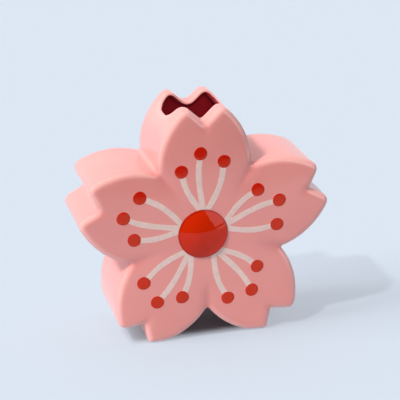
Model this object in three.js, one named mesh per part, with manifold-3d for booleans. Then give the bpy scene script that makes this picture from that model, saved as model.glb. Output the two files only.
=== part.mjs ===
// A glazed ceramic vase in the shape of a five-petal cherry blossom, standing on two petals.
// It is hollow, with a rounded slot for the flowers cut through the notched tip of its top petal.
// A red button sits at the centre of the front face, with three enamel stamens on each petal.
// Millimetres, +Z up. The front face looks along -Y. The origin is at the centre of the bounding
// box's underside, on the surface that the vase stands on.

import * as THREE from 'three';
import { mergeVertices } from 'three/addons/utils/BufferGeometryUtils.js';
import Module from 'manifold-3d';

const wasm = await Module();
wasm.setup();

const degrees = Math.PI / 180;

// Blossom outline, seen from the front. Lengths run out from the blossom's centre.
const PETALS = 5;
const VALLEY_RADIUS = 53.3; // to the crease between two petals
const NOTCH_RADIUS = 74.2; // to the bottom of the notch in a petal's tip
const NOTCH_HALF_ANGLE = 47 * degrees; // from the petal's axis to either side of its notch
const SIDE_RADIUS = 50; // of the arc along each side of a petal
const SIDE_START = 2.8 * degrees; // how far a side leans out from the petal's axis at the valley
const TIP_RADIUS = 5.3; // of the round end of each of a petal's two lobes
const FOOT_DROP = 74; // from the blossom's centre down to the flats that it stands on

// Thickness from front to back.
const BODY_DEPTH = 58;
const EDGE_RADIUS = 4; // round edge between a face and the sides
const SIDE_WALL = 4;
const FACE_WALL = 5;

// Grooves that part the petals on both faces. They fade out towards the centre.
const CREASE_DEPTH = 1.9;
const CREASE_END_RADIUS = 31;
const CREASE_HALF_WIDTH = 7;
const NOTCH_GROOVE_DEPTH = 1;
const NOTCH_GROOVE_END_RADIUS = 62;
const NOTCH_GROOVE_HALF_WIDTH = 6;

// Slot in the top petal, seen from above.
const MOUTH_LENGTH = 41.6;
const MOUTH_WIDTH = 30;
const MOUTH_CORNER_RADIUS = 9;

// Button and stamens, whose centre lies a little to the left of the blossom's.
const ORNAMENT_OFFSET = new THREE.Vector2(-2.9, 0.2);
const SEAT_GAP = 0.3; // left between a laid-on piece and what it touches
const BUTTON_RADIUS = 16.6;
const BUTTON_RISE = 4.4;
const BUTTON_SIDE_HEIGHT = 1.2;
const ENAMEL_THICKNESS = 0.5;
const FILAMENT_WIDTH = 3.9;
const ANTHER_RADIUS = 4.5;

// Each stamen in one petal, from its root by the button to its anther: distance along the petal's
// axis, then distance to the right of the axis, looking at the front with the petal pointing up.
const STAMEN_ROUTES = {
  left: [[15, -0.6], [21, -4.7], [27, -8.3], [34.5, -11.5], [43.6, -13.4]],
  middle: [[15, 0.5], [26, -0.9], [34, -1.8], [44, -2], [54.7, -0.6]],
  right: [[15, 2], [20, 5.7], [28, 10.1], [36, 13], [48, 14.9]],
};

// How finely round shapes are divided.
const TIP_SEGMENTS = 4;
const SIDE_SEGMENTS = 6;
const EDGE_SEGMENTS = 3;
const ROUTE_SEGMENTS = 8;
const DISC_SEGMENTS = 18;
const BUTTON_SEGMENTS = 36;
const DOME_SEGMENTS = 7;
const MOUTH_CORNER_SEGMENTS = 5;
const FACE_RING_SCALES = [0.9, 0.77, 0.6];
const MERGE_DISTANCE = 1e-4;

const ORNAMENT_THICKNESS = SEAT_GAP + BUTTON_RISE;
const FRONT_Y = ORNAMENT_THICKNESS / 2 - BODY_DEPTH / 2;
const PETAL_STEP = (2 * Math.PI) / PETALS;

const pinkGlaze = { color: 0xf2a9a4, roughness: 0.12, metalness: 0 };
const redGlaze = { color: 0xc8321f, roughness: 0.1, metalness: 0 };
const whiteEnamel = { color: 0xf3e3df, roughness: 0.25, metalness: 0 };
const redEnamel = { color: 0xc9301c, roughness: 0.2, metalness: 0 };

// Closed solid of a geometry whose faces point out.
function toSolid(geometry) {
  const bare = geometry.clone();
  bare.deleteAttribute('normal');
  bare.deleteAttribute('uv');
  const merged = mergeVertices(bare, MERGE_DISTANCE);
  return new wasm.Manifold(new wasm.Mesh({
    numProp: 3,
    vertProperties: new Float32Array(merged.attributes.position.array),
    triVerts: new Uint32Array(merged.index.array),
  }));
}

function toGeometry(solid) {
  const mesh = solid.getMesh();
  const geometry = new THREE.BufferGeometry();
  geometry.setAttribute('position', new THREE.BufferAttribute(mesh.vertProperties, 3));
  geometry.setIndex(new THREE.BufferAttribute(mesh.triVerts, 1));
  geometry.computeVertexNormals();
  return geometry;
}

function node(name, geometry, finish) {
  const mesh = new THREE.Mesh(geometry, new THREE.MeshStandardMaterial(finish));
  mesh.name = name;
  return mesh;
}

// One side of a petal that points along +X, from its notch round a lobe to its valley.
function halfPetal() {
  const notch = new THREE.Vector2(NOTCH_RADIUS, 0);
  const valley = new THREE.Vector2(VALLEY_RADIUS, 0).rotateAround(new THREE.Vector2(), PETAL_STEP / 2);
  const sideCentre = new THREE.Vector2(Math.sin(SIDE_START), -Math.cos(SIDE_START))
    .multiplyScalar(SIDE_RADIUS)
    .add(valley);

  // The tip's arc touches the notch's line and the side's arc from within.
  const notchLine = new THREE.Vector2(Math.cos(NOTCH_HALF_ANGLE), Math.sin(NOTCH_HALF_ANGLE));
  const intoPetal = new THREE.Vector2(-notchLine.y, notchLine.x);
  const start = intoPetal.clone().multiplyScalar(TIP_RADIUS).add(notch).sub(sideCentre);
  const reach = SIDE_RADIUS - TIP_RADIUS;
  const along = start.dot(notchLine);
  const travel = -along + Math.sqrt(along * along - start.lengthSq() + reach * reach);
  const tipCentre = start.clone().addScaledVector(notchLine, travel).add(sideCentre);

  const tipStart = Math.atan2(-intoPetal.y, -intoPetal.x);
  const outward = tipCentre.clone().sub(sideCentre);
  const tipEnd = Math.atan2(outward.y, outward.x);
  const toValley = valley.clone().sub(sideCentre);
  const sideEnd = Math.atan2(toValley.y, toValley.x);

  const tip = new THREE.EllipseCurve(tipCentre.x, tipCentre.y, TIP_RADIUS, TIP_RADIUS, tipStart, tipEnd);
  const side = new THREE.EllipseCurve(
    sideCentre.x, sideCentre.y, SIDE_RADIUS, SIDE_RADIUS, tipEnd, sideEnd,
  );
  return [notch, ...tip.getPoints(TIP_SEGMENTS), ...side.getPoints(SIDE_SEGMENTS).slice(1)];
}

// The whole outline, anticlockwise, as points (x, z) about the blossom's centre.
function blossomOutline() {
  const half = halfPetal();
  const mirrored = half.slice(1).reverse().map((p) => new THREE.Vector2(p.x, -p.y));
  const petal = [...mirrored, ...half.slice(0, -1)];
  const points = [];
  for (let k = 0; k < PETALS; k += 1) {
    const turn = Math.PI / 2 + k * PETAL_STEP;
    for (const p of petal) {
      const turned = p.clone().rotateAround(new THREE.Vector2(), turn);
      turned.y = Math.max(turned.y, -FOOT_DROP);
      points.push(turned);
    }
  }
  return points;
}

// The outline moved inwards by a distance, with as many points as before.
function insetOutline(points, distance) {
  return points.map((p, i) => {
    const before = points[(i + points.length - 1) % points.length];
    const after = points[(i + 1) % points.length];
    const run = after.clone().sub(before).normalize();
    return new THREE.Vector2(p.x - run.y * distance, p.y + run.x * distance);
  });
}

// Depth of a straight groove that starts at one radius, fades out at another and points along
// a given direction.
function grooveDepth(p, direction, startRadius, endRadius, halfWidth, depth) {
  const along = p.x * Math.cos(direction) + p.y * Math.sin(direction);
  const across = Math.abs(p.y * Math.cos(direction) - p.x * Math.sin(direction));
  const lengthwise = THREE.MathUtils.smoothstep(along, endRadius, startRadius);
  const crosswise = Math.max(0, 1 - across / halfWidth);
  return depth * lengthwise * crosswise;
}

// How far a face sinks at a point, in the crease or the notch's groove that is nearest to it.
function faceSink(p) {
  let sink = 0;
  for (let k = 0; k < PETALS; k += 1) {
    const petalAngle = Math.PI / 2 + k * PETAL_STEP;
    const valleyAngle = petalAngle + PETAL_STEP / 2;
    const crease = grooveDepth(
      p, valleyAngle, VALLEY_RADIUS, CREASE_END_RADIUS, CREASE_HALF_WIDTH, CREASE_DEPTH,
    );
    const groove = grooveDepth(
      p, petalAngle, NOTCH_RADIUS, NOTCH_GROOVE_END_RADIUS, NOTCH_GROOVE_HALF_WIDTH, NOTCH_GROOVE_DEPTH,
    );
    sink = Math.max(sink, crease, groove);
  }
  return sink;
}

// Solid between rings of equal count, each listing its points from front to back. Both ends
// close on the middle of their ring.
function loft(rings) {
  const count = rings[0].length;
  const vertices = rings.flat();
  const triangles = [];
  for (let r = 0; r < rings.length - 1; r += 1) {
    for (let i = 0; i < count; i += 1) {
      const next = (i + 1) % count;
      const a = r * count + i;
      const b = r * count + next;
      const c = (r + 1) * count + next;
      const d = (r + 1) * count + i;
      triangles.push(a, c, b, a, d, c);
    }
  }
  const first = vertices.length;
  const last = first + 1;
  const lastRing = (rings.length - 1) * count;
  vertices.push(new THREE.Vector3(0, rings[0][0].y, 0));
  vertices.push(new THREE.Vector3(0, rings.at(-1)[0].y, 0));
  for (let i = 0; i < count; i += 1) {
    const next = (i + 1) % count;
    triangles.push(first, i, next, last, lastRing + next, lastRing + i);
  }
  const geometry = new THREE.BufferGeometry().setFromPoints(vertices);
  geometry.setIndex(triangles);
  return geometry;
}

// Outer shape about the middle of the vase: two faces with their creases, round edges, sides.
function bodyBlank() {
  const outline = blossomOutline();
  const frontRings = FACE_RING_SCALES.toReversed().map((scale) => {
    const ring = insetOutline(outline, EDGE_RADIUS).map((p) => p.multiplyScalar(scale));
    return ring.map((p) => new THREE.Vector3(p.x, faceSink(p) - BODY_DEPTH / 2, p.y));
  });
  for (let step = EDGE_SEGMENTS; step >= 0; step -= 1) {
    const angle = (step / EDGE_SEGMENTS) * (Math.PI / 2);
    const ring = insetOutline(outline, EDGE_RADIUS * (1 - Math.cos(angle)));
    frontRings.push(ring.map((p) => {
      const sink = faceSink(p);
      const y = sink + (EDGE_RADIUS - sink) * (1 - Math.sin(angle)) - BODY_DEPTH / 2;
      return new THREE.Vector3(p.x, y, p.y);
    }));
  }
  const backRings = frontRings.toReversed().map((ring) => (
    ring.map((p) => new THREE.Vector3(p.x, -p.y, p.z))
  ));
  return loft([...frontRings, ...backRings]);
}

function cavity() {
  const ring = insetOutline(blossomOutline(), SIDE_WALL);
  const halfDepth = BODY_DEPTH / 2 - FACE_WALL;
  return loft([
    ring.map((p) => new THREE.Vector3(p.x, -halfDepth, p.y)),
    ring.map((p) => new THREE.Vector3(p.x, halfDepth, p.y)),
  ]);
}

// Upright cutter for the slot, from inside the cavity to well above the petal.
function mouthCutter() {
  const x = MOUTH_LENGTH / 2 - MOUTH_CORNER_RADIUS;
  const y = MOUTH_WIDTH / 2 - MOUTH_CORNER_RADIUS;
  const shape = new THREE.Shape();
  shape.absarc(x, y, MOUTH_CORNER_RADIUS, 0, Math.PI / 2);
  shape.absarc(-x, y, MOUTH_CORNER_RADIUS, Math.PI / 2, Math.PI);
  shape.absarc(-x, -y, MOUTH_CORNER_RADIUS, Math.PI, 1.5 * Math.PI);
  shape.absarc(x, -y, MOUTH_CORNER_RADIUS, 1.5 * Math.PI, 2 * Math.PI);
  const bottom = VALLEY_RADIUS * Math.cos(PETAL_STEP / 2);
  const cutter = new THREE.ExtrudeGeometry(shape, {
    depth: NOTCH_RADIUS, bevelEnabled: false, curveSegments: MOUTH_CORNER_SEGMENTS,
  });
  return cutter.translate(0, 0, bottom);
}

function vaseBody() {
  const solid = toSolid(bodyBlank()).subtract(toSolid(cavity())).subtract(toSolid(mouthCutter()));
  const body = node('vase_body', toGeometry(solid), pinkGlaze);
  body.position.set(0, ORNAMENT_THICKNESS / 2, FOOT_DROP);
  return body;
}

// Group whose XY plane lies on the front face, with +Z pointing out of it and +Y up.
function frontFace() {
  const face = new THREE.Group();
  face.position.set(ORNAMENT_OFFSET.x, FRONT_Y - SEAT_GAP, FOOT_DROP + ORNAMENT_OFFSET.y);
  face.rotation.x = Math.PI / 2;
  return face;
}

// Low dome with a short upright side.
function centerButton() {
  const domeRise = BUTTON_RISE - BUTTON_SIDE_HEIGHT;
  const domeRadius = (BUTTON_RADIUS ** 2 + domeRise ** 2) / (2 * domeRise);
  const domeAngle = Math.asin(BUTTON_RADIUS / domeRadius);
  const profile = [new THREE.Vector2(0, 0), new THREE.Vector2(BUTTON_RADIUS, 0)];
  for (let step = DOME_SEGMENTS; step >= 0; step -= 1) {
    const angle = (step / DOME_SEGMENTS) * domeAngle;
    const height = BUTTON_RISE - domeRadius * (1 - Math.cos(angle));
    profile.push(new THREE.Vector2(domeRadius * Math.sin(angle), height));
  }
  const button = node('center_button', new THREE.LatheGeometry(profile, BUTTON_SEGMENTS), redGlaze);
  button.rotation.x = Math.PI / 2;
  return button;
}

// Flat band of even width along a stamen's route.
function filamentStrip(route) {
  const curve = new THREE.SplineCurve(route.map(([along, across]) => new THREE.Vector2(across, along)));
  const left = [];
  const right = [];
  for (let i = 0; i <= ROUTE_SEGMENTS; i += 1) {
    const t = i / ROUTE_SEGMENTS;
    const middle = curve.getPoint(t);
    const run = curve.getTangent(t);
    const half = new THREE.Vector2(-run.y, run.x).multiplyScalar(FILAMENT_WIDTH / 2);
    left.push(middle.clone().add(half));
    right.push(middle.clone().sub(half));
  }
  const shape = new THREE.Shape([...right, ...left.toReversed()]);
  return new THREE.ExtrudeGeometry(shape, { depth: ENAMEL_THICKNESS, bevelEnabled: false });
}

function antherDisc(radius, height) {
  const disc = new THREE.CylinderGeometry(radius, radius, height, DISC_SEGMENTS);
  disc.rotateX(Math.PI / 2);
  return disc.translate(0, 0, height / 2);
}

// The filaments of one petal meet at the button, and stop short of it and of their anthers.
function filaments(name) {
  const clearHeight = 4 * ENAMEL_THICKNESS;
  const buttonHole = antherDisc(BUTTON_RADIUS + SEAT_GAP, clearHeight)
    .translate(0, 0, -ENAMEL_THICKNESS);
  let solid = null;
  for (const route of Object.values(STAMEN_ROUTES)) {
    const strip = toSolid(filamentStrip(route));
    solid = solid ? solid.add(strip) : strip;
  }
  for (const route of Object.values(STAMEN_ROUTES)) {
    const [along, across] = route.at(-1);
    const hole = antherDisc(ANTHER_RADIUS + SEAT_GAP, clearHeight)
      .translate(across, along, -ENAMEL_THICKNESS);
    solid = solid.subtract(toSolid(hole));
  }
  solid = solid.subtract(toSolid(buttonHole));
  return node(name, toGeometry(solid), whiteEnamel);
}

function anther(name, route) {
  const disc = node(name, antherDisc(ANTHER_RADIUS, ENAMEL_THICKNESS), redEnamel);
  const [along, across] = route.at(-1);
  disc.position.set(across, along, 0);
  return disc;
}

// All stamens of one petal, turned with it.
function stamens(k) {
  const group = new THREE.Group();
  group.add(filaments(`filaments_${k + 1}`));
  for (const [side, route] of Object.entries(STAMEN_ROUTES)) {
    group.add(anther(`anther_${k + 1}_${side}`, route));
  }
  group.rotation.z = -k * PETAL_STEP;
  return group;
}

const vase = new THREE.Group();
const face = frontFace();
face.add(centerButton());
for (let k = 0; k < PETALS; k += 1) {
  face.add(stamens(k));
}
vase.add(vaseBody(), face);

export default vase;
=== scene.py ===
"""The looks of a glazed ceramic vase in the shape of a five-petal cherry blossom.

The body is a slip-cast shell under a pink glaze, with a slot for stems in its top petal. A red
button and painted stamens sit on the front face, which looks along -Y. Everything is in metres,
+Z up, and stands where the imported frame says. Each operator makes one piece or group of pieces.
"""

import math
import random
from collections import namedtuple

import bmesh
import bpy
from bpy.props import FloatProperty, FloatVectorProperty, PointerProperty
from mathutils import Matrix, Vector


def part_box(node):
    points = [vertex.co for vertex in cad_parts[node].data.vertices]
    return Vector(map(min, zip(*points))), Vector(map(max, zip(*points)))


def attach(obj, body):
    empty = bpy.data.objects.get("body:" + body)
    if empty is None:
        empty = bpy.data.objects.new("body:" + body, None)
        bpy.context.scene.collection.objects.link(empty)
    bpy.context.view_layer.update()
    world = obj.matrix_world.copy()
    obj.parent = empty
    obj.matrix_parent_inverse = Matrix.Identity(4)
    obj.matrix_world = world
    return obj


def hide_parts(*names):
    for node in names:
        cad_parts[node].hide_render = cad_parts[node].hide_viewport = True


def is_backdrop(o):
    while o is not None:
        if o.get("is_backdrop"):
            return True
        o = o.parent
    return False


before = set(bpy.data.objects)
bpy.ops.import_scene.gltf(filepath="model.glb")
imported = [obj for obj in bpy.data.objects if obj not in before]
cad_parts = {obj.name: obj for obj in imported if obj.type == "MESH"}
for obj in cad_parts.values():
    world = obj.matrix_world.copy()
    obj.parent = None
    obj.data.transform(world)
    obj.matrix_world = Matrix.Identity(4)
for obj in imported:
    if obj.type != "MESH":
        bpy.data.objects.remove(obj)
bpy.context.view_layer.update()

bl_info = {
    "name": "Cherry Blossom Vase",
    "version": (1, 0, 0),
    "blender": (4, 5, 0),
    "location": "View3D > Sidebar > Blossom Vase",
    "description": "Builds a glazed ceramic vase in the shape of a cherry blossom",
    "category": "Add Mesh",
}

MM = 0.001
TINY = 1e-9  # added where two equal places are compared
MERGE_DISTANCE = 1e-6

BODY_LOW, BODY_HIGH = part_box("vase_body")
BUTTON_LOW, BUTTON_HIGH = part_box("center_button")
BODY_MIDDLE_Y = (BODY_LOW.y + BODY_HIGH.y) / 2
BUTTON_CENTRE = (BUTTON_LOW + BUTTON_HIGH) / 2

PETALS = 5
PETAL_STEP = 2 * math.pi / PETALS
ANTHER_SIDES = ("left", "middle", "right")

# Each stamen in one petal, from its root under the button to its anther, in millimetres:
# distance along the petal's axis, then to the right of it with the petal pointing up.
STAMEN_ROUTES = {
    "left": ((15, -0.6), (21, -4.7), (27, -8.3), (34.5, -11.5), (43.6, -13.4)),
    "middle": ((15, 0.5), (26, -0.9), (34, -1.8), (44, -2), (54.7, -0.6)),
    "right": ((15, 2), (20, 5.7), (28, 10.1), (36, 13), (48, 14.9)),
}


def linear(hex_colour):
    """Linear red, green and blue of an sRGB colour such as #F2A9A4."""
    parts = (int(hex_colour[i:i + 2], 16) / 255 for i in (1, 3, 5))
    return tuple(c / 12.92 if c <= 0.04045 else ((c + 0.055) / 1.055) ** 2.4 for c in parts)


def smooth(value, start, end):
    """0 at start, 1 at end, and a smooth step between them."""
    t = min(max((value - start) / (end - start), 0), 1)
    return t * t * (3 - 2 * t)


# ---------------------------------------------------------------- sizes and colours

def millimetres(name, description, value):
    return FloatProperty(name=name, description=description, default=value * MM, unit="LENGTH")


def degrees(name, description, value):
    return FloatProperty(name=name, description=description, default=math.radians(value),
                         unit="ROTATION")


def amount(name, description, value, **limits):
    return FloatProperty(name=name, description=description, default=value, min=0, **limits)


def colour(name, description, value):
    return FloatVectorProperty(name=name, description=description, default=linear(value),
                               subtype="COLOR", min=0, max=1)


class VaseBodySizes(bpy.types.PropertyGroup):
    """The blossom-shaped shell."""

    valley_radius: millimetres(
        "Valley radius", "From the blossom's centre to where two petals meet", 53.3)
    notch_radius: millimetres("Notch radius", "From the centre to the notch in a petal's tip", 74.2)
    notch_angle: degrees("Notch angle", "Between the two sides of a notch", 94)
    side_radius: millimetres("Side radius", "Radius of the arc along each side of a petal", 50)
    side_lean: degrees(
        "Side lean", "How far a side leans out from its petal's axis at the valley", 2.8)
    tip_radius: millimetres("Tip radius", "Radius of the round end of each lobe", 5.3)
    valley_fillet: millimetres(
        "Valley fillet", "Radius to which glaze rounds the corner between petals", 1.2)
    valley_pool: millimetres(
        "Valley pool", "How much larger it is halfway between front and back", 2)
    notch_fillet: millimetres(
        "Notch fillet", "Radius to which glaze rounds the bottom of a notch", 1.5)
    mouth_fillet: millimetres(
        "Mouth fillet", "The same radius on the mouth's rear rim, which is rounder", 6)
    foot_drop: millimetres("Foot drop", "From the blossom's centre down to the ground flats", 74)
    edge_radius: millimetres(
        "Edge radius", "Radius of the round edge between a face and the sides", 4)
    wall: millimetres("Wall", "Thickness of the cast wall", 3.6)
    crease_depth: millimetres(
        "Crease depth", "Depth of the crease between two petals at its valley", 1.6)
    crease_width: millimetres(
        "Crease half width", "From a crease's bottom to where the face is level", 8.5)
    groove_depth: millimetres("Notch groove depth", "Depth of the groove behind each notch", 0.8)
    groove_width: millimetres(
        "Notch groove half width", "From the groove's bottom to the level face", 5.5)
    pillow: millimetres("Pillow", "How far a petal's sides fall away from its middle", 0.8)
    mouth_length: millimetres("Mouth length", "Length of the slot in the top petal", 41.6)
    mouth_width: millimetres("Mouth width", "Width of the slot from front to back", 30)
    mouth_corner: millimetres("Mouth corner", "Corner radius of the slot, seen from above", 9)
    lip_drop: millimetres("Lip drop", "How far the mouth's lip curls down into the vase", 1.1)
    glaze: colour("Pink glaze", "Colour of the glaze at its usual thickness", "#F0988F")
    thin_glaze: colour("Thin glaze", "Paler colour where the glaze breaks over an edge", "#F6AEA6")
    pooled_glaze: colour(
        "Pooled glaze", "Deeper colour where the glaze gathers in a crease", "#E68A84")
    inside_glaze: colour("Inside glaze", "Colour of the glaze inside the vase", "#F0485A")


class ButtonSizes(bpy.types.PropertyGroup):
    """The red centre of the blossom."""

    side_height: millimetres("Side height", "Height of the short steep side below the dome", 0.5)
    shoulder: millimetres("Shoulder radius", "Radius of the edge between side and dome", 0.4)
    glaze: colour("Red glaze", "Colour of the glaze on the dome", "#CB2502")
    # painted shade: a darker red round the dome's foot, standing in for the shadow of the gap there
    painted_rim_shade: colour(
        "Rim glaze", "Deeper red where the glaze gathers round the foot of the dome", "#A01806")


class StamenSizes(bpy.types.PropertyGroup):
    """The stamens painted on the front face."""

    filament_width: millimetres("Filament width", "Width of a painted filament", 3.9)
    filament_rise: millimetres(
        "Filament rise", "How far the white enamel stands above the glaze", 0.06)
    anther_rise: millimetres("Anther rise", "How far the red enamel stands above the glaze", 0.22)
    white: colour("White enamel", "Colour of the filaments", "#F2CFC4")
    red: colour("Red enamel", "Colour of the anthers", "#D31804")


class StageSizes(bpy.types.PropertyGroup):
    """Floor, light and camera."""

    floor: colour("Paper", "Colour of the seamless paper that the vase stands on", "#7E848B")
    key_strength: amount("Key light", "Strength of the key light on the vase", 3)
    key_angle: degrees("Key size", "Angle that the key light fills on the vase", 9)
    fill_strength: amount(
        "Fill light", "Strength of the light from the camera's side on the vase", 0.2)
    button_strength: amount("Button light", "Strength of the light from the right on the button", 2)
    paper_key_strength: amount("Paper key", "Strength of the key light on the paper", 1.6)
    paper_fill_strength: amount(
        "Paper fill", "Strength of the light from the camera's side on the paper", 17)
    paper_side_strength: amount(
        "Paper side light", "Strength of the soft light from the left on the paper", 6)
    sky_strength: amount("Sky", "Brightness of the soft light above and behind the vase", 1.2)
    left_share: amount(
        "Left share", "How much brighter the room's left side is than its middle", 0.35, max=1)
    front_strength: amount("Front", "Brightness of the dim room in front of the vase", 0.24)
    front_reflection: amount(
        "Front reflection", "Brightness of the front of the room in reflections", 0.02)
    card_strength: amount("Card", "Brightness of the pale card that the button reflects", 2.2)


# ---------------------------------------------------------------- the blossom's shape

def heading(angle):
    return Vector((math.cos(angle), math.sin(angle)))


def angle_of(direction):
    return math.atan2(direction.y, direction.x)


class HalfPetal:
    """Outline of half a petal that points along +X, as a run from its notch to its valley.

    A fillet in the notch, a straight side of the notch, a small arc round the lobe's tip, a
    long arc down the petal's side and a fillet in the valley follow one another without a
    corner.
    """

    def __init__(self, sizes):
        self.notch = Vector((sizes.notch_radius, 0))
        self.notch_half = sizes.notch_angle / 2
        self.valley_half = PETAL_STEP / 2 - sizes.side_lean
        self.valley_radius = sizes.valley_radius
        self.tip_radius = sizes.tip_radius
        self.side_radius = sizes.side_radius
        valley = sizes.valley_radius * heading(PETAL_STEP / 2)
        lean = Vector((math.sin(sizes.side_lean), -math.cos(sizes.side_lean)))
        self.side_centre = valley + self.side_radius * lean
        self.notch_line = heading(self.notch_half)
        self.into_petal = Vector((-self.notch_line.y, self.notch_line.x))
        start = self.notch + self.tip_radius * self.into_petal - self.side_centre
        along = start.dot(self.notch_line)
        reach = self.side_radius - self.tip_radius
        self.line_length = -along + math.sqrt(along ** 2 - start.length_squared + reach ** 2)
        tip = start + self.line_length * self.notch_line
        self.tip_centre = tip + self.side_centre
        self.tip_start = angle_of(-self.into_petal)
        self.tip_end = angle_of(tip)
        self.side_start = self.line_length + self.tip_radius * (self.tip_end - self.tip_start)
        side_end = angle_of(valley - self.side_centre)
        self.length = self.side_start + self.side_radius * (side_end - self.tip_end)

    def place(self, run, notch_fillet, valley_fillet):
        """Point of the outline and the direction into the petal there."""
        notch_reach = notch_fillet / math.tan(self.notch_half)
        if run < notch_reach:
            turn = (math.pi / 2 - self.notch_half) * run / notch_reach
            centre = self.notch + Vector((notch_fillet / math.sin(self.notch_half), 0))
            inward = heading(math.pi - turn)
            return centre + notch_fillet * inward, inward
        if run <= self.line_length:
            return self.notch + run * self.notch_line, self.into_petal
        if run <= self.side_start:
            return self.outer_place(self.tip_centre, self.tip_radius,
                                    self.tip_start + (run - self.line_length) / self.tip_radius)
        valley_reach = valley_fillet / math.tan(self.valley_half)
        if run <= self.length - valley_reach:
            return self.outer_place(self.side_centre, self.side_radius,
                                    self.tip_end + (run - self.side_start) / self.side_radius)
        turn = (math.pi / 2 - self.valley_half) * (self.length - run) / valley_reach
        inward = heading(PETAL_STEP / 2 + math.pi + turn)
        radius = self.valley_radius + valley_fillet / math.sin(self.valley_half)
        return radius * heading(PETAL_STEP / 2) + valley_fillet * inward, inward

    @staticmethod
    def outer_place(centre, radius, angle):
        outward = heading(angle)
        return centre + radius * outward, -outward

    def run_beside_axis(self, offset):
        """The run at which the petal's side is this far from its axis."""
        angle = math.asin((offset - self.side_centre.y) / self.side_radius)
        return self.side_start + (angle - self.tip_end) * self.side_radius


def groove(p, direction, start, end, half_width, depth):
    """Depth at p of a groove that is deepest at radius start and has faded out at radius end."""
    along = p.x * math.cos(direction) + p.y * math.sin(direction)
    across = abs(p.y * math.cos(direction) - p.x * math.sin(direction))
    profile = max(0, 1 - across / half_width) ** 2
    return depth * smooth(along, end, start) * profile


CREASE_END = 31 * MM  # radius at which a crease has faded out
GROOVE_END = 64 * MM  # the same for the groove behind a notch
PILLOW_REACH = 27 * MM  # distance from a petal's axis at which the pillow's full fall is reached
PILLOW_FADE = (22 * MM, 50 * MM)  # radii between which the pillow grows from nothing to full
LESSER_SHARE = 0.5  # share of the smaller of groove and pillow that adds to the larger
SECTOR_OVERLAP = 1e-6  # angle by which two petals share the line between them


def sinks(p, sizes):
    """How far creases, notch grooves and pillow lower a face at p, largest groove first."""
    deepest = 0
    pillow = 0
    for k in range(PETALS):
        petal_angle = math.pi / 2 + k * PETAL_STEP
        crease = groove(p, petal_angle + PETAL_STEP / 2, sizes.valley_radius, CREASE_END,
                        sizes.crease_width, sizes.crease_depth)
        notch = groove(p, petal_angle, sizes.notch_radius, GROOVE_END,
                       sizes.groove_width, sizes.groove_depth)
        deepest = max(deepest, crease, notch)
        along = p.x * math.cos(petal_angle) + p.y * math.sin(petal_angle)
        across = p.y * math.cos(petal_angle) - p.x * math.sin(petal_angle)
        if abs(math.atan2(across, along)) <= PETAL_STEP / 2 + SECTOR_OVERLAP:
            fall = min(abs(across) / PILLOW_REACH, 1) ** 2
            pillow = sizes.pillow * fall * smooth(p.length, *PILLOW_FADE)
    return deepest, pillow


def face_sink(p, sizes):
    deepest, pillow = sinks(p, sizes)
    return max(deepest, pillow) + LESSER_SHARE * min(deepest, pillow)


def face_y(x, z, sizes):
    """Where the front face is at x and z."""
    p = Vector((x, z - sizes.foot_drop))
    return BODY_LOW.y + face_sink(p, sizes)


# A column of the shell's grid: its petal, the side of that petal's axis on which it lies, and
# its run along the half petal. A row: the face that it lies on (-1 front, 0 sides, 1 back), its
# share of the outline, its tilt on the round edge, and its depth on the sides.
Column = namedtuple("Column", "petal side run")
Row = namedtuple("Row", "face scale tilt depth")

NOTCH_RUNS = tuple(d * MM for d in (0, 0.8, 1.9, 3.6, 5.8, 8.2))  # columns, from the notch
TIP_STEPS = 5
# Columns again, back from the valley.
VALLEY_RUNS = tuple(d * MM for d in (32, 26.5, 21.5, 17, 12.8, 9, 6, 3.8, 2.3, 1.1, 0))
LIP_STEP = 1.6 * MM  # width of the cells round the mouth, which sets how soft its lip is
LIP_DEPTH_STEP = 1.2 * LIP_STEP  # the same towards the front and the back
LIP_THIN_GLAZE_AND_SHADE = -0.5  # how thin the glaze lies on the lip; inside the vase the same row is darkened as painted shade
FACE_SCALES = (0, 0.12, 0.24, 0.35, 0.45, 0.55, 0.64, 0.73, 0.81, 0.88, 0.94, 1)
EDGE_STEPS = 4
SIDE_DEPTHS = tuple(d * MM for d in (0, 4.2, 8.5))  # rows on the sides, from their middle
OUTER_DEPTHS = tuple(d * MM for d in (16.8, 19.5, 22.5))  # the same beyond the mouth
MOUTH_FADE = 20 * MM  # run along a lobe over which columns close up again beside the mouth


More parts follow.
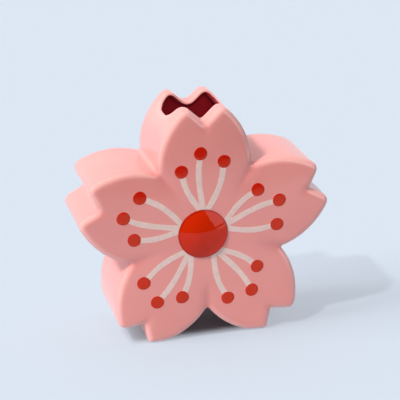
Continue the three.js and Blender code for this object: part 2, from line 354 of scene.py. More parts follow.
class BlossomShell:
    """Places the columns and rows of a grid on the outside of the vase.

    Columns follow the outline. Rows run from the middle of the front face, over the front
    edge, along the sides and over the back edge to the middle of the back face.
    """

    def __init__(self, sizes):
        self.sizes = sizes
        self.petal = HalfPetal(sizes)
        self.half_depth = (BODY_HIGH.y - BODY_LOW.y) / 2
        self.strip_half = self.half_depth - sizes.edge_radius
        corner = sizes.mouth_corner
        self.mouth_x = sizes.mouth_length / 2
        self.mouth_y = sizes.mouth_width / 2
        cut = corner * (1 - math.sin(math.pi / 4))
        self.block_x = self.mouth_x - cut
        self.block_y = self.mouth_y - cut
        self.block_run = self.petal.run_beside_axis(self.block_x)
        self.columns = self.make_columns()
        self.rows = self.make_rows()

    def make_columns(self):
        petal = self.petal
        tip_length = petal.side_start - petal.line_length
        runs = list(NOTCH_RUNS)
        runs += [petal.line_length + tip_length * i / TIP_STEPS for i in range(TIP_STEPS + 1)]
        runs += [(petal.side_start + self.block_run) / 2, self.block_run, self.block_run + LIP_STEP]
        runs += [petal.length - distance for distance in VALLEY_RUNS]
        columns = []
        for k in range(PETALS):
            columns += [Column(k, -1, run) for run in reversed(runs)]
            columns += [Column(k, 1, run) for run in runs[1:-1]]
        return columns

    def make_rows(self):
        front = [Row(-1, scale, math.pi / 2, 0) for scale in FACE_SCALES]
        for step in range(1, EDGE_STEPS + 1):
            tilt = math.pi / 2 * (1 - step / EDGE_STEPS)
            front.append(Row(-1, 1, tilt, self.strip_half))
        outer = [self.block_y, self.block_y + LIP_DEPTH_STEP, *OUTER_DEPTHS]
        depths = [*SIDE_DEPTHS, *outer]
        side = [Row(0, 1, 0, -d) for d in reversed(depths[1:])]
        side += [Row(0, 1, 0, d) for d in depths]
        back = [Row(1, row.scale, row.tilt, row.depth) for row in reversed(front)]
        return front + side + back

    def outline(self, column, run, depth):
        """Point (x, z) of the outline about the blossom's centre, and the direction inwards."""
        notch = self.sizes.notch_fillet
        if column.petal == 0:
            rearward = (depth / self.half_depth + 1) / 2
            notch += (self.sizes.mouth_fillet - notch) * rearward
        valley = self.sizes.valley_fillet
        valley += self.sizes.valley_pool * (1 - (depth / self.half_depth) ** 2)
        return [self.turned(Vector((v.x, column.side * v.y)), column.petal)
                for v in self.petal.place(run, notch, valley)]

    def turned(self, p, k):
        return Matrix.Rotation(math.pi / 2 + k * PETAL_STEP, 2) @ p

    def grounded(self, p, inset=0):
        """The two lowest lobes are ground flat where they stand, here at an inset from there."""
        return Vector((p.x, max(p.y, inset - self.sizes.foot_drop)))

    def corner_offset(self, offset, straight, limit):
        """How far the rounded rectangle reaches, beside an offset along its other side."""
        if offset <= straight:
            return limit
        corner = self.sizes.mouth_corner
        return limit - corner + math.sqrt(max(corner ** 2 - (offset - straight) ** 2, 0))

    def beside_mouth(self, run, depth):
        """Moves a place on the top petal so that the cells left out for the mouth leave a
        rounded rectangle, seen from above."""
        corner = self.sizes.mouth_corner
        x = self.petal.place(run, self.sizes.notch_fillet, self.sizes.valley_fillet)[0].y
        y = abs(depth)
        new_run = run
        if y <= self.block_y + TINY:
            end_x = self.corner_offset(y, self.mouth_y - corner, self.mouth_x)
            new_run = self.spread(run, self.block_run, self.petal.run_beside_axis(end_x),
                                  self.block_run + MOUTH_FADE)
        new_y = y
        if x <= self.block_x + TINY and run <= self.block_run + TINY:
            end_y = self.corner_offset(x, self.mouth_x - corner, self.mouth_y)
            new_y = self.spread(y, self.block_y, end_y, self.strip_half)
        return new_run, math.copysign(new_y, depth)

    @staticmethod
    def spread(value, old, new, limit):
        """Moves old to new, and evenly what lies before it and between it and the limit."""
        if value <= old:
            return value * new / old
        if value >= limit:
            return value
        return new + (value - old) * (limit - new) / (limit - old)

    def in_block(self, column, row):
        """Whether a place belongs to the block of cells that is left out for the mouth."""
        return (column.petal == 0 and row.face == 0 and column.run <= self.block_run + TINY
                and abs(row.depth) <= self.block_y + TINY)

    def on_lip(self, column, row):
        at_run_end = abs(column.run - self.block_run) < TINY
        at_depth_end = abs(abs(row.depth) - self.block_y) < TINY
        return (at_run_end or at_depth_end) and self.in_block(column, row)

    def place(self, column, row):
        """Place on the shell, and how thick the glaze lies there from -1, thin, to 1, pooled."""
        sizes = self.sizes
        if row.face == 0:
            run, depth = column.run, row.depth
            if column.petal == 0:
                run, depth = self.beside_mouth(run, depth)
            p, inward = self.outline(column, run, depth)
            drop = sizes.lip_drop if self.on_lip(column, row) else 0
            p = self.grounded(p) + drop * inward
            return self.in_frame(p, depth), self.lip_glaze(column, row)
        inset = sizes.edge_radius * (1 - math.cos(row.tilt))
        p, inward = self.outline(column, column.run, row.face * self.half_depth)
        p = row.scale * self.grounded(p + inset * inward, inset)
        sink = face_sink(p, sizes)
        lift = sink + (sizes.edge_radius - sink) * (1 - math.sin(row.tilt))
        glaze = sinks(p, sizes)[0] / sizes.crease_depth - math.sin(2 * row.tilt)
        return self.in_frame(p, row.face * (self.half_depth - lift)), glaze

    def lip_glaze(self, column, row):
        """How thick the glaze lies on the sides: thin in one row of cells round the mouth. Inside
        the vase the same row is darkened as painted shade.
        """
        beyond_run = column.run - self.block_run
        beyond_depth = abs(row.depth) - self.block_y
        near_run = abs(beyond_run) < LIP_STEP + TINY
        near_depth = abs(beyond_depth) < LIP_DEPTH_STEP + TINY
        inside_run = beyond_run < LIP_STEP + TINY
        inside_depth = beyond_depth < LIP_DEPTH_STEP + TINY
        if column.petal == 0 and ((near_run and inside_depth) or (near_depth and inside_run)):
            return LIP_THIN_GLAZE_AND_SHADE
        return 0

    def in_frame(self, p, depth):
        return Vector((p.x, BODY_MIDDLE_Y + depth, p.y + self.sizes.foot_drop))


# ---------------------------------------------------------------- making pieces

def finished_piece(name, bm, materials, node):
    """Turns a bmesh into an object at the origin that rides on the vase's one body."""
    for face in bm.faces:
        face.smooth = True
    mesh = bpy.data.meshes.new(name)
    bm.to_mesh(mesh)
    bm.free()
    for material in materials:
        mesh.materials.append(material)
    piece = bpy.data.objects.new(name, mesh)
    bpy.context.scene.collection.objects.link(piece)
    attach(piece, "root")
    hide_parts(node)
    return piece


def close_seams(bm):
    bmesh.ops.remove_doubles(bm, verts=bm.verts, dist=MERGE_DISTANCE)
    bmesh.ops.recalc_face_normals(bm, faces=bm.faces)


def grid(bm, columns, rows):
    """Adds a flat grid and returns its vertices by (column, row)."""
    made = bmesh.ops.create_grid(bm, x_segments=columns, y_segments=rows, size=0.5)
    place = {}
    for vertex in made["verts"]:
        i = round((vertex.co.x + 0.5) * columns)
        j = round((vertex.co.y + 0.5) * rows)
        place[i, j] = vertex
    return place


def shell_mesh(shell):
    """The outside of the vase as a closed grid, open only at the mouth."""
    bm = bmesh.new()
    pool = bm.verts.layers.float.new("glaze_pool")
    columns = shell.columns
    rows = shell.rows
    block = set()
    for (i, j), vertex in grid(bm, len(columns), len(rows) - 1).items():
        column = columns[i % len(columns)]
        row = rows[j]
        vertex.co, vertex[pool] = shell.place(column, row)
        if shell.in_block(column, row):
            block.add(vertex)
    mouth = [face for face in bm.faces if all(vertex in block for vertex in face.verts)]
    bmesh.ops.delete(bm, geom=mouth, context="FACES")
    close_seams(bm)
    return bm


def spun(bm, profile, centre, steps):
    """Spins a profile of (radius, y) points about a line along Y through centre."""
    verts = [bm.verts.new((centre.x + radius, y, centre.z)) for radius, y in profile]
    edges = [bm.edges.new(pair) for pair in zip(verts, verts[1:])]
    bmesh.ops.spin(bm, geom=verts + edges, cent=(centre.x, 0, centre.z), axis=(0, 1, 0),
                   dvec=(0, 0, 0), angle=2 * math.pi, steps=steps, use_merge=True,
                   use_normal_flip=False, use_duplicate=False)


def catmull_rom(points, t):
    """Point at t from 0 to 1 on a smooth curve through the points."""
    scaled = t * (len(points) - 1)
    i = min(int(scaled), len(points) - 2)
    f = scaled - i
    before = points[max(i - 1, 0)]
    a, b = points[i], points[i + 1]
    after = points[min(i + 2, len(points) - 1)]
    lead_in = (b - before) / 2
    lead_out = (after - a) / 2
    return ((2 * a - 2 * b + lead_in + lead_out) * f ** 3
            + (3 * b - 3 * a - 2 * lead_in - lead_out) * f ** 2 + lead_in * f + a)


def stamen_point(along_across, k):
    """Turns a route's point into petal k, counted clockwise from the top, as (x, z)."""
    along, across = along_across
    p = Matrix.Rotation(-k * PETAL_STEP, 2) @ Vector((across, along))
    return Vector((BUTTON_CENTRE.x + p.x * MM, BUTTON_CENTRE.z + p.y * MM))


# ---------------------------------------------------------------- materials

NOISE_BAND = {"From Min": 0.3, "From Max": 0.7}  # most values of a noise lie between these
MIX_FACTOR, MIX_FIRST, MIX_SECOND, MIX_RESULT = 0, 6, 7, 2  # a Mix node's sockets for colours


def add_node(tree, kind, values=None, links=None, **settings):
    """Adds a shader node. Each link comes from a socket, or from another node's first one."""
    node = tree.nodes.new("ShaderNode" + kind)
    for name, value in settings.items():
        setattr(node, name, value)
    for socket, value in (values or {}).items():
        node.inputs[socket].default_value = value
    for socket, source in (links or {}).items():
        if isinstance(source, bpy.types.Node):
            source = source.outputs[0]
        tree.links.new(source, node.inputs[socket])
    return node


def new_material(name):
    material = bpy.data.materials.new(name)
    material.use_nodes = True
    tree = material.node_tree
    tree.nodes.clear()
    return material, tree


def opaque(tone, share=1):
    """A colour as a socket takes it, darkened to a share."""
    return (*(share * part for part in tone), 1)


def pink_glaze(sizes):
    # Glossy pink glaze over slip-cast earthenware, fired once. It runs thin and pale over
    # edges, gathers a little deeper in the creases, and dries in slow waves that bend
    # reflections. Seen along the surface it is milky, hence the sheen.
    material, tree = new_material("pink gloss glaze on slip-cast earthenware")
    place = add_node(tree, "TexCoord").outputs["Object"]
    cloud = add_node(tree, "TexNoise", {"Scale": 1 / (38 * MM)}, {"Vector": place})
    waves = add_node(tree, "TexNoise", {"Scale": 1 / (17 * MM), "Detail": 1},
                     {"Vector": place})
    peel = add_node(tree, "TexNoise", {"Scale": 1 / (2.2 * MM), "Detail": 1},
                    {"Vector": place})
    pool = add_node(tree, "Attribute", attribute_name="glaze_pool").outputs["Fac"]
    drift = add_node(tree, "MapRange", {**NOISE_BAND, "To Max": 0.35}, {"Value": cloud})
    thick = add_node(tree, "MapRange", links={"Value": pool})
    thin = add_node(tree, "MapRange", {"From Max": -1}, {"Value": pool})
    shade = add_node(tree, "Mix",
                     {MIX_FIRST: opaque(sizes.glaze), MIX_SECOND: opaque(sizes.pooled_glaze)},
                     {MIX_FACTOR: drift}, data_type="RGBA")
    shade = add_node(tree, "Mix", {MIX_SECOND: opaque(sizes.pooled_glaze)},
                     {MIX_FACTOR: thick, MIX_FIRST: shade.outputs[MIX_RESULT]}, data_type="RGBA")
    shade = add_node(tree, "Mix", {MIX_SECOND: opaque(sizes.thin_glaze)},
                     {MIX_FACTOR: thin, MIX_FIRST: shade.outputs[MIX_RESULT]}, data_type="RGBA")
    roughness = add_node(tree, "MapRange",
                         {**NOISE_BAND, "To Min": 0.1, "To Max": 0.14}, {"Value": cloud})
    normal = add_node(tree, "Bump", {"Distance": 0.1 * MM}, {"Height": waves})
    normal = add_node(tree, "Bump", {"Distance": 0.003 * MM},
                      {"Height": peel, "Normal": normal})
    shader = add_node(tree, "BsdfPrincipled",
                      {"IOR": 1.5, "Sheen Weight": 0.22, "Sheen Roughness": 0.45},
                      {"Base Color": shade.outputs[MIX_RESULT], "Roughness": roughness,
                       "Normal": normal})
    add_node(tree, "OutputMaterial", links={"Surface": shader})
    return material


def inside_glaze(sizes):
    # Red glaze poured round the inside: a glossy coat that is uneven in its clouds. The band along
    # the mouth, over the rim and the first row inside, is darkened as painted shade.
    material, tree = new_material("poured red glaze inside the vase")
    place = add_node(tree, "TexCoord").outputs["Object"]
    cloud = add_node(tree, "TexNoise", {"Scale": 1 / (12 * MM)}, {"Vector": place})
    pool = add_node(tree, "Attribute", attribute_name="glaze_pool").outputs["Fac"]
    drift = add_node(tree, "MapRange", NOISE_BAND, {"Value": cloud})
    # painted shade along the mouth: darkens the inside glaze over the lip's row of cells and the
    # rim
    mouth_painted_shade = add_node(tree, "MapRange", {"From Min": -0.05, "From Max": LIP_THIN_GLAZE_AND_SHADE},
                       {"Value": pool})
    tone = sizes.inside_glaze
    shade = add_node(tree, "Mix",
                     {MIX_FIRST: opaque(tone), MIX_SECOND: opaque(tone, 0.85)},
                     {MIX_FACTOR: drift}, data_type="RGBA")
    shade = add_node(tree, "Mix", {MIX_SECOND: opaque(tone, 0.3)},
                     {MIX_FACTOR: mouth_painted_shade, MIX_FIRST: shade.outputs[MIX_RESULT]},
                     data_type="RGBA")
    normal = add_node(tree, "Bump", {"Distance": 0.2 * MM}, {"Height": cloud})
    shader = add_node(tree, "BsdfPrincipled", {"IOR": 1.5, "Roughness": 0.25},
                      {"Base Color": shade.outputs[MIX_RESULT], "Normal": normal})
    add_node(tree, "OutputMaterial", links={"Surface": shader})
    return material


def red_glaze(sizes):
    # Cadmium-red gloss glaze on the domed button: bright and even with a wet shine. The thin darker
    # line round its foot is painted shade of the gap there.
    material, tree = new_material("red gloss glaze on a ceramic dome")
    place = add_node(tree, "TexCoord").outputs["Object"]
    cloud = add_node(tree, "TexNoise", {"Scale": 1 / (9 * MM)}, {"Vector": place})
    waves = add_node(tree, "TexNoise", {"Scale": 1 / (7 * MM), "Detail": 1},
                     {"Vector": place})
    rim = add_node(tree, "Attribute", attribute_name="rim").outputs["Fac"]
    drift = add_node(tree, "MapRange", {**NOISE_BAND, "To Max": 0.06}, {"Value": cloud})
    shade = add_node(tree, "Mix",
                     {MIX_FIRST: opaque(sizes.glaze), MIX_SECOND: opaque(sizes.painted_rim_shade)},
                     {MIX_FACTOR: drift}, data_type="RGBA")
    # paints the shade round the dome's foot
    shade = add_node(tree, "Mix", {MIX_SECOND: opaque(sizes.painted_rim_shade)},
                     {MIX_FACTOR: rim, MIX_FIRST: shade.outputs[MIX_RESULT]}, data_type="RGBA")
    normal = add_node(tree, "Bump", {"Distance": 0.02 * MM}, {"Height": waves})
    shader = add_node(tree, "BsdfPrincipled",
                      {"Specular IOR Level": 0.25, "Roughness": 0.06},
                      {"Base Color": shade.outputs[MIX_RESULT], "Normal": normal})
    add_node(tree, "OutputMaterial", links={"Surface": shader})
    return material


def enamel(name, pigment, roughness, specular, streak_size, shine="#FFFFFF"):
    # Overglaze enamel laid on with a brush: opaque, level, a little less glossy than the
    # glaze, with faint streaks where the bristles left it thinner. Shine tints its reflections.
    material, tree = new_material(name)
    place = add_node(tree, "TexCoord").outputs["Object"]
    streaks = add_node(tree, "TexNoise", {"Scale": 1 / streak_size, "Detail": 3},
                       {"Vector": place})
    drift = add_node(tree, "MapRange", NOISE_BAND, {"Value": streaks})
    shade = add_node(tree, "Mix",
                     {MIX_FIRST: opaque(pigment), MIX_SECOND: opaque(pigment, 0.9)},
                     {MIX_FACTOR: drift}, data_type="RGBA")
    normal = add_node(tree, "Bump", {"Distance": 0.02 * MM}, {"Height": streaks})
    shader = add_node(tree, "BsdfPrincipled",
                      {"Specular IOR Level": specular, "Specular Tint": opaque(linear(shine)),
                       "Roughness": roughness},
                      {"Base Color": shade.outputs[MIX_RESULT], "Normal": normal})
    add_node(tree, "OutputMaterial", links={"Surface": shader})
    return material


def seamless_paper(tone):
    # Matt seamless background paper, pressed and coated: even, with a faint tooth.
    material, tree = new_material("matt seamless paper")
    place = add_node(tree, "TexCoord").outputs["Object"]
    tooth = add_node(tree, "TexNoise", {"Scale": 1 / (1.5 * MM), "Detail": 3},
                     {"Vector": place})
    drift = add_node(tree, "MapRange", NOISE_BAND, {"Value": tooth})
    shade = add_node(tree, "Mix",
                     {MIX_FIRST: opaque(tone), MIX_SECOND: opaque(tone, 0.985)},
                     {MIX_FACTOR: drift}, data_type="RGBA")
    shader = add_node(tree, "BsdfPrincipled",
                      {"Roughness": 0.95, "Specular IOR Level": 0},
                      {"Base Color": shade.outputs[MIX_RESULT]})
    add_node(tree, "OutputMaterial", links={"Surface": shader})
    return material


def glowing_card(strength):
    # Pale matt card lit from behind, seen only as a soft shine in the glaze.
    material, tree = new_material("pale lit card")
    glow = add_node(tree, "Emission", {"Strength": strength})
    add_node(tree, "OutputMaterial", links={"Surface": glow})
    return material


def black_net():
    # Woven black net of a studio flag: matt, close to black, and open where its weave thins.
    material, tree = new_material("woven black flag net")
    weave = add_node(tree, "Attribute", attribute_name="weave").outputs["Fac"]
    gaps = add_node(tree, "BsdfTransparent")
    thread = add_node(tree, "BsdfDiffuse", {"Color": opaque(linear("#1A1A1A"))})
    net = add_node(tree, "MixShader", links={0: weave, 1: gaps, 2: thread})
    add_node(tree, "OutputMaterial", links={"Surface": net})
    return material


# ---------------------------------------------------------------- operators

class VASE_OT_body(bpy.types.Operator):
    """Build the hollow blossom-shaped shell with its mouth"""

    bl_idname = "vase.body"
    bl_label = "Vase Body"

    def execute(self, context):
        sizes = context.scene.vase_body
        bm = shell_mesh(BlossomShell(sizes))
        materials = [pink_glaze(sizes), inside_glaze(sizes)]
        piece = finished_piece("glazed_body", bm, materials, "vase_body")
        wall = piece.modifiers.new("cast wall", "SOLIDIFY")
        wall.thickness = sizes.wall
        wall.offset = -1
        wall.material_offset = 1
        wall.material_offset_rim = 1
        rounding = piece.modifiers.new("soft glaze", "SUBSURF")
        rounding.levels = 1
        rounding.render_levels = 1
        return {"FINISHED"}


class VASE_OT_button(bpy.types.Operator):
    """Build the domed red button at the blossom's centre"""

    bl_idname = "vase.button"
    bl_label = "Centre Button"

    STEPS = 72
    DOME_ROWS = 14
    SHOULDER_ROWS = 4
    SUNK = 0.4 * MM
    RIM_SHADE_BAND = (0.955, 0.995)  # shares of the radius between which the painted shade round the foot sets in

    def execute(self, context):
        sizes = context.scene.vase_button
        radius = (BUTTON_HIGH.x - BUTTON_LOW.x) / 2
        rise = BODY_LOW.y - BUTTON_LOW.y
        bm = bmesh.new()
        rim = bm.verts.layers.float.new("rim")
        spun(bm, self.profile(sizes, radius, rise), BUTTON_CENTRE, self.STEPS)
        close_seams(bm)
        for vertex in bm.verts:
            out = Vector((vertex.co.x - BUTTON_CENTRE.x, vertex.co.z - BUTTON_CENTRE.z)).length
            # marks where the painted shade round the dome's foot lies
            vertex[rim] = smooth(out / radius, *self.RIM_SHADE_BAND)
        finished_piece("red_button", bm, [red_glaze(sizes)], "center_button")
        return {"FINISHED"}

    def profile(self, sizes, radius, rise):
        """From the dome's crown over its shoulder and down its side, as (radius, y)."""
        dome_rise = rise - sizes.side_height
        dome_radius = (radius ** 2 + dome_rise ** 2) / (2 * dome_rise)
        shoulder = sizes.shoulder
        reach = math.asin((radius - shoulder) / (dome_radius - shoulder))
        profile = []
        for i in range(self.DOME_ROWS + 1):
            angle = reach * i / self.DOME_ROWS
            height = rise - dome_radius * (1 - math.cos(angle))
            profile.append((dome_radius * math.sin(angle), BODY_LOW.y - height))
        centre_height = rise - dome_radius + (dome_radius - shoulder) * math.cos(reach)
        for i in range(1, self.SHOULDER_ROWS + 1):
            angle = reach + (math.pi / 2 - reach) * i / self.SHOULDER_ROWS
            height = centre_height + shoulder * math.cos(angle)
            profile.append((radius - shoulder + shoulder * math.sin(angle), BODY_LOW.y - height))
        profile.append((radius, BODY_LOW.y + self.SUNK))
        profile.append((0, BODY_LOW.y + self.SUNK))
        return profile


class VASE_OT_filaments(bpy.types.Operator):
    """Paint the white filaments of every petal's stamens"""

    bl_idname = "vase.filaments"
    bl_label = "Filaments"

    SEED = 11
    LENGTH_STEPS = 36
    RUN_STEP = 0.01  # share of the length over which a line's direction is measured
    ACROSS = (-1, -0.93, -0.5, 0, 0.5, 0.93, 1)  # shares of the half width
    WOBBLE = 0.05  # share of the width by which a hand-painted line swells and narrows
    WAVES = (1.5, 2.5)  # fewest and most times that it does so along its length
    LAYER = 0.06  # share of the rise by which each brush stroke lies over the one before
    SUNK = 0.04 * MM

    def execute(self, context):
        sizes = context.scene.vase_stamens
        body = context.scene.vase_body
        draw = random.Random(self.SEED)
        material = enamel("white overglaze enamel", sizes.white, roughness=0.25, specular=0.35,
                          streak_size=2.5 * MM)
        for k in range(PETALS):
            bm = bmesh.new()
            for side in ANTHER_SIDES:
                self.paint(bm, k, side, sizes, body, draw)
            bmesh.ops.recalc_face_normals(bm, faces=bm.faces)
            finished_piece(f"painted_filaments_{k + 1}", bm, [material],
                           f"filaments_{k + 1}")
        return {"FINISHED"}

    def paint(self, bm, k, side, sizes, body, draw):
        route = [stamen_point(p, k) for p in STAMEN_ROUTES[side]]
        phase = draw.uniform(0, 2 * math.pi)
        waves = draw.uniform(*self.WAVES)
        rise = sizes.filament_rise * (1 + self.LAYER * ANTHER_SIDES.index(side))
        vertices = grid(bm, self.LENGTH_STEPS, len(self.ACROSS) - 1)
        for (i, j), vertex in vertices.items():
            t = i / self.LENGTH_STEPS
            across = self.ACROSS[j]
            middle = catmull_rom(route, t)
            ahead = catmull_rom(route, min(t + self.RUN_STEP, 1))
            run = (ahead - catmull_rom(route, max(t - self.RUN_STEP, 0))).normalized()
            swell = 1 + self.WOBBLE * math.sin(phase + waves * 2 * math.pi * t)
            half = sizes.filament_width / 2 * swell
            p = middle + Vector((-run.y, run.x)) * half * across
            height = -self.SUNK if abs(across) == 1 else rise
            vertex.co = (p.x, face_y(p.x, p.y, body) - height, p.y)
        for j in (1, len(self.ACROSS) - 2):
            for i in range(self.LENGTH_STEPS):
                bm.edges.get((vertices[i, j], vertices[i + 1, j])).smooth = False


class VASE_OT_anthers(bpy.types.Operator):
    """Paint the red anther at the end of every filament"""

    bl_idname = "vase.anthers"
    bl_label = "Anthers"

    SEED = 23
    STEPS = 40
    WOBBLE = 0.02  # share of the radius by which a hand-painted dot is out of round
    LOBES = (2, 3)
    SUNK = 0.1 * MM
    # From the middle outwards: share of the radius, and share of the rise there.
    PROFILE = ((0, 1), (0.35, 1), (0.7, 0.97), (0.88, 0.88), (0.965, 0.6), (1, 0))

    def execute(self, context):
        sizes = context.scene.vase_stamens
        body = context.scene.vase_body
        draw = random.Random(self.SEED)
        material = enamel("red overglaze enamel", sizes.red, roughness=0.12, specular=0.5,
                          streak_size=3 * MM, shine="#FFFFC4")
        for k in range(PETALS):
            for side in ANTHER_SIDES:
                node = f"anther_{k + 1}_{side}"
                low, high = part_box(node)
                centre = (low + high) / 2
                radius = (high.x - low.x) / 2
                bm = bmesh.new()
                self.paint(bm, centre, radius, sizes, body, draw)
                finished_piece(f"painted_{node}", bm, [material], node)
        return {"FINISHED"}

    def paint(self, bm, centre, radius, sizes, body, draw):
        profile = [(out * radius, up * sizes.anther_rise) for out, up in self.PROFILE]
        spun(bm, [*profile, (radius, -self.SUNK)], centre, self.STEPS)
        bmesh.ops.remove_doubles(bm, verts=bm.verts, dist=MERGE_DISTANCE)
        phase = draw.uniform(0, 2 * math.pi)
        lobes = draw.choice(self.LOBES)
        for vertex in bm.verts:
            out = Vector((vertex.co.x - centre.x, vertex.co.z - centre.z))
            swell = 1 + self.WOBBLE * math.sin(phase + lobes * angle_of(out))
            p = Vector((centre.x, centre.z)) + out * swell
            vertex.co = (p.x, face_y(p.x, p.y, body) - vertex.co.y, p.y)
        bmesh.ops.recalc_face_normals(bm, faces=bm.faces)


class VASE_OT_stage(bpy.types.Operator):
    """Lay the paper floor, hang the lights and set up the camera"""

    bl_idname = "vase.stage"
    bl_label = "Stage"

    FLOOR_FRONT = -0.355  # the paper ends here, where the room in front turns dim
    FLOOR_BACK = 6
    FLOOR_HALF_WIDTH = 4
    # Which way the lights shine.
    KEY_DIRECTION = Vector((0.76, 0.40, -0.95))
    PAPER_KEY_DIRECTION = Vector((0.68, 0.40, -1))
    FILL_DIRECTION = Vector((0.67, 2.6, -1))
    SIDE_DIRECTION = Vector((3.5, 0, -1))
    BUTTON_DIRECTION = Vector((-1, 0, 0.3))
    CRISP = math.radians(3)  # angle that a small light fills
    SOFT = math.radians(30)  # the same for a wide one
    FLAG_Y = -24 * MM
    FLAG_HEIGHT = 17 * MM
    FLAG_RIGHT = 38 * MM
    FLAG_LEFT = -52.8 * MM  # where its left edge meets the paper
    FLAG_LEAN = 0.9  # how far that edge leans out to the left, for each metre up
    FLAG_END = -60.5 * MM
    FLAG_DENSITY = 0.96  # share of the light that the net stops where it is densest
    FLAG_FADE = 7.5 * MM  # distance from the left edge over which most of that share is reached
    FLAG_FOOT = 3.8 * MM  # height up to which the net thins out towards the paper
    FLAG_CELLS = (50, 12)  # across and up
    SKY_COLOUR = "#E4E7EC"
    # The room brightens between these two y components of the direction that is looked in.
    DIM_END = -0.55
    BRIGHT_START = 0.1
    # The card's two panels: upright in front at the right, and level on the paper's front edge.
    CARD_PANELS = (
        ((0.76, -1.03, -0.05), (2.4, -1.03, -0.05), (2.4, -1.03, 1.1), (0.3, -1.03, 1.1),
         (0.45, -1.03, 0.53), (0.52, -1.03, 0.32)),
        ((0.27, -0.355, 0.001), (2.4, -0.355, 0.001), (2.4, -0.22, 0.001), (0.27, -0.22, 0.001)),
    )
    CAMERA_PLACE = Vector((-0.23049, -0.89894, 0.43309))
    CAMERA_TARGET = Vector((0.00301, 0.00235, 0.08655))
    CAMERA_ROLL = math.radians(-1.1222)
    FOCAL_PIXELS = 1495.76  # focal length, in pixels of the 400 pixel wide frame
    IMAGE_WIDTH = 400
    SENSOR_WIDTH = 36  # millimetres

    def execute(self, context):
        sizes = context.scene.vase_stage
        vase = [o for o in bpy.data.objects if o.type == "MESH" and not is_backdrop(o)]
        paper = [self.lay_floor(sizes)]
        button = [bpy.data.objects["red_button"]]
        for name, lit, strength, angle, direction in (
            ("key light", vase, sizes.key_strength, sizes.key_angle, self.KEY_DIRECTION),
            ("fill light", vase, sizes.fill_strength, self.SOFT, self.FILL_DIRECTION),
            ("button light", button, sizes.button_strength, self.CRISP, self.BUTTON_DIRECTION),
            ("paper key", paper, sizes.paper_key_strength, self.CRISP, self.PAPER_KEY_DIRECTION),
            ("paper fill", paper, sizes.paper_fill_strength, self.CRISP, self.FILL_DIRECTION),
            ("paper side light", paper, sizes.paper_side_strength, self.SOFT, self.SIDE_DIRECTION),
        ):
            self.hang_sun(name, lit, strength, angle, direction)
        self.stand_card(sizes)
        self.stand_flag()
        self.light_room(context, sizes)
        self.place_camera(context)
        context.scene.view_settings.view_transform = "Standard"
        return {"FINISHED"}

    def stage_object(self, name, bm, material):
        mesh = bpy.data.meshes.new(name)
        bm.to_mesh(mesh)
        bm.free()
        mesh.materials.append(material)
        made = bpy.data.objects.new(name, mesh)
        bpy.context.scene.collection.objects.link(made)
        made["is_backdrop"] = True
        return made

    def lay_floor(self, sizes):
        bm = bmesh.new()
        bmesh.ops.create_grid(bm, x_segments=1, y_segments=1, size=1)
        for vertex in bm.verts:
            vertex.co.x *= self.FLOOR_HALF_WIDTH
            vertex.co.y = self.FLOOR_BACK if vertex.co.y > 0 else self.FLOOR_FRONT
        return self.stage_object("paper_floor", bm, seamless_paper(sizes.floor))

    def stand_card(self, sizes):
        """A pale card in front of the vase that only reflections show."""
        bm = bmesh.new()
        for panel in self.CARD_PANELS:
            bm.faces.new([bm.verts.new(corner) for corner in panel])
        card = self.stage_object("pale_card", bm, glowing_card(sizes.card_strength))
        card.visible_camera = False
        card.visible_diffuse = False
        card.visible_shadow = False

    def stand_flag(self):
        """A black net between the feet that keeps the paper under the vase in shade, and thins
        out towards its left edge and its foot."""
        bm = bmesh.new()
        weave = bm.verts.layers.float.new("weave")
        columns, rows = self.FLAG_CELLS
        for (i, j), vertex in grid(bm, columns, rows).items():
            z = self.FLAG_HEIGHT * j / rows
            left = max(self.FLAG_LEFT - self.FLAG_LEAN * z, self.FLAG_END)
            x = left + (self.FLAG_RIGHT - left) * i / columns
            density = self.FLAG_DENSITY * (1 - math.exp((left - x) / self.FLAG_FADE))
            vertex[weave] = density * smooth(z, 0, self.FLAG_FOOT)
            vertex.co = (x, self.FLAG_Y, z)
        flag = self.stage_object("black_flag", bm, black_net())
        flag.visible_camera = False
        flag.visible_diffuse = False
        flag.visible_glossy = False

    def hang_sun(self, name, lit, strength, angle, direction):
        """A far light of some width that falls only on the objects in lit and has no shine. What
        lights the vase or its button is shaded by the same pieces alone."""
        light = bpy.data.lights.new(name, "SUN")
        light.energy = strength
        light.angle = angle
        lamp = bpy.data.objects.new(name, light)
        lamp.rotation_euler = direction.to_track_quat("-Z", "Y").to_euler()
        lamp.visible_glossy = False
        bpy.context.scene.collection.objects.link(lamp)
        group = bpy.data.collections.new(name)
        for receiver in lit:
            group.objects.link(receiver)
        lamp.light_linking.receiver_collection = group
        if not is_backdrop(lit[0]):
            lamp.light_linking.blocker_collection = group

    def light_room(self, context, sizes):
        """A room that is bright above, behind and on the left of the vase, and dim in front."""
        world = bpy.data.worlds.new("studio room")
        world.use_nodes = True
        tree = world.node_tree
        tree.nodes.clear()
        place = add_node(tree, "TexCoord")
        axes = add_node(tree, "SeparateXYZ", links={0: place.outputs["Generated"]})
        ray = add_node(tree, "LightPath")
        front = add_node(tree, "MapRange",
                         {"To Min": sizes.front_strength, "To Max": sizes.front_reflection},
                         {"Value": ray.outputs["Is Glossy Ray"]})
        depth = add_node(tree, "MapRange",
                         {"From Min": self.DIM_END, "From Max": self.BRIGHT_START,
                          "To Max": sizes.sky_strength},
                         {"Value": axes.outputs["Y"], "To Min": front})
        side = add_node(tree, "MapRange",
                        {"From Min": -1, "To Min": 1 + sizes.left_share,
                         "To Max": 1 - sizes.left_share},
                        {"Value": axes.outputs["X"]})
        level = add_node(tree, "Math", links={0: depth, 1: side}, operation="MULTIPLY")
        light = add_node(tree, "Background", {"Color": opaque(linear(self.SKY_COLOUR))},
                         {"Strength": level})
        add_node(tree, "OutputWorld", links={"Surface": light})
        context.scene.world = world

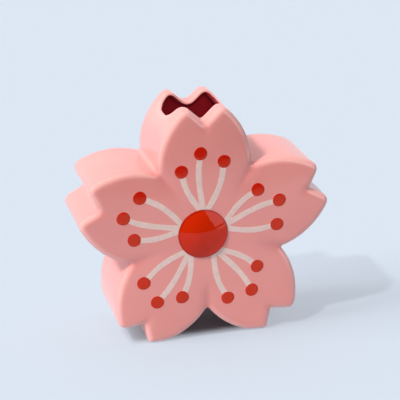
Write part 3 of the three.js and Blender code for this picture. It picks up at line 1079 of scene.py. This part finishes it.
    def place_camera(self, context):
        back = (self.CAMERA_PLACE - self.CAMERA_TARGET).normalized()
        right = Vector((0, 0, 1)).cross(back).normalized()
        up = back.cross(right)
        turn = Matrix.Rotation(self.CAMERA_ROLL, 3, back)
        axes = Matrix((turn @ right, turn @ up, back)).transposed()
        camera = bpy.data.cameras.new("camera")
        camera.sensor_width = self.SENSOR_WIDTH
        camera.lens = self.FOCAL_PIXELS / self.IMAGE_WIDTH * self.SENSOR_WIDTH
        holder = bpy.data.objects.new("camera", camera)
        holder.matrix_world = Matrix.Translation(self.CAMERA_PLACE) @ axes.to_4x4()
        context.scene.collection.objects.link(holder)
        context.scene.camera = holder


class VASE_PT_sizes(bpy.types.Panel):
    """Sizes and colours of the vase, with a button for each piece"""

    bl_idname = "VASE_PT_sizes"
    bl_label = "Blossom Vase"
    bl_space_type = "VIEW_3D"
    bl_region_type = "UI"
    bl_category = "Blossom Vase"

    def draw(self, context):
        for operator, group in PIECES:
            box = self.layout.box()
            box.operator(operator)
            settings = getattr(context.scene, group)
            for name in settings.bl_rna.properties.keys():
                if name not in ("rna_type", "name"):
                    box.prop(settings, name)


GROUPS = {
    "vase_body": VaseBodySizes,
    "vase_button": ButtonSizes,
    "vase_stamens": StamenSizes,
    "vase_stage": StageSizes,
}
OPERATORS = (VASE_OT_body, VASE_OT_button, VASE_OT_filaments, VASE_OT_anthers, VASE_OT_stage)
PIECES = (
    ("vase.body", "vase_body"),
    ("vase.button", "vase_button"),
    ("vase.filaments", "vase_stamens"),
    ("vase.anthers", "vase_stamens"),
    ("vase.stage", "vase_stage"),
)


def register():
    for cls in (*GROUPS.values(), *OPERATORS, VASE_PT_sizes):
        bpy.utils.register_class(cls)
    for name, group in GROUPS.items():
        setattr(bpy.types.Scene, name, PointerProperty(type=group))


def unregister():
    for name in GROUPS:
        delattr(bpy.types.Scene, name)
    for cls in reversed((*GROUPS.values(), *OPERATORS, VASE_PT_sizes)):
        bpy.utils.unregister_class(cls)


def main():
    register()
    for name in ("body", "button", "filaments", "anthers", "stage"):
        getattr(bpy.ops.vase, name)()
    bpy.context.view_layer.update()


if __name__ == "__main__":
    main()
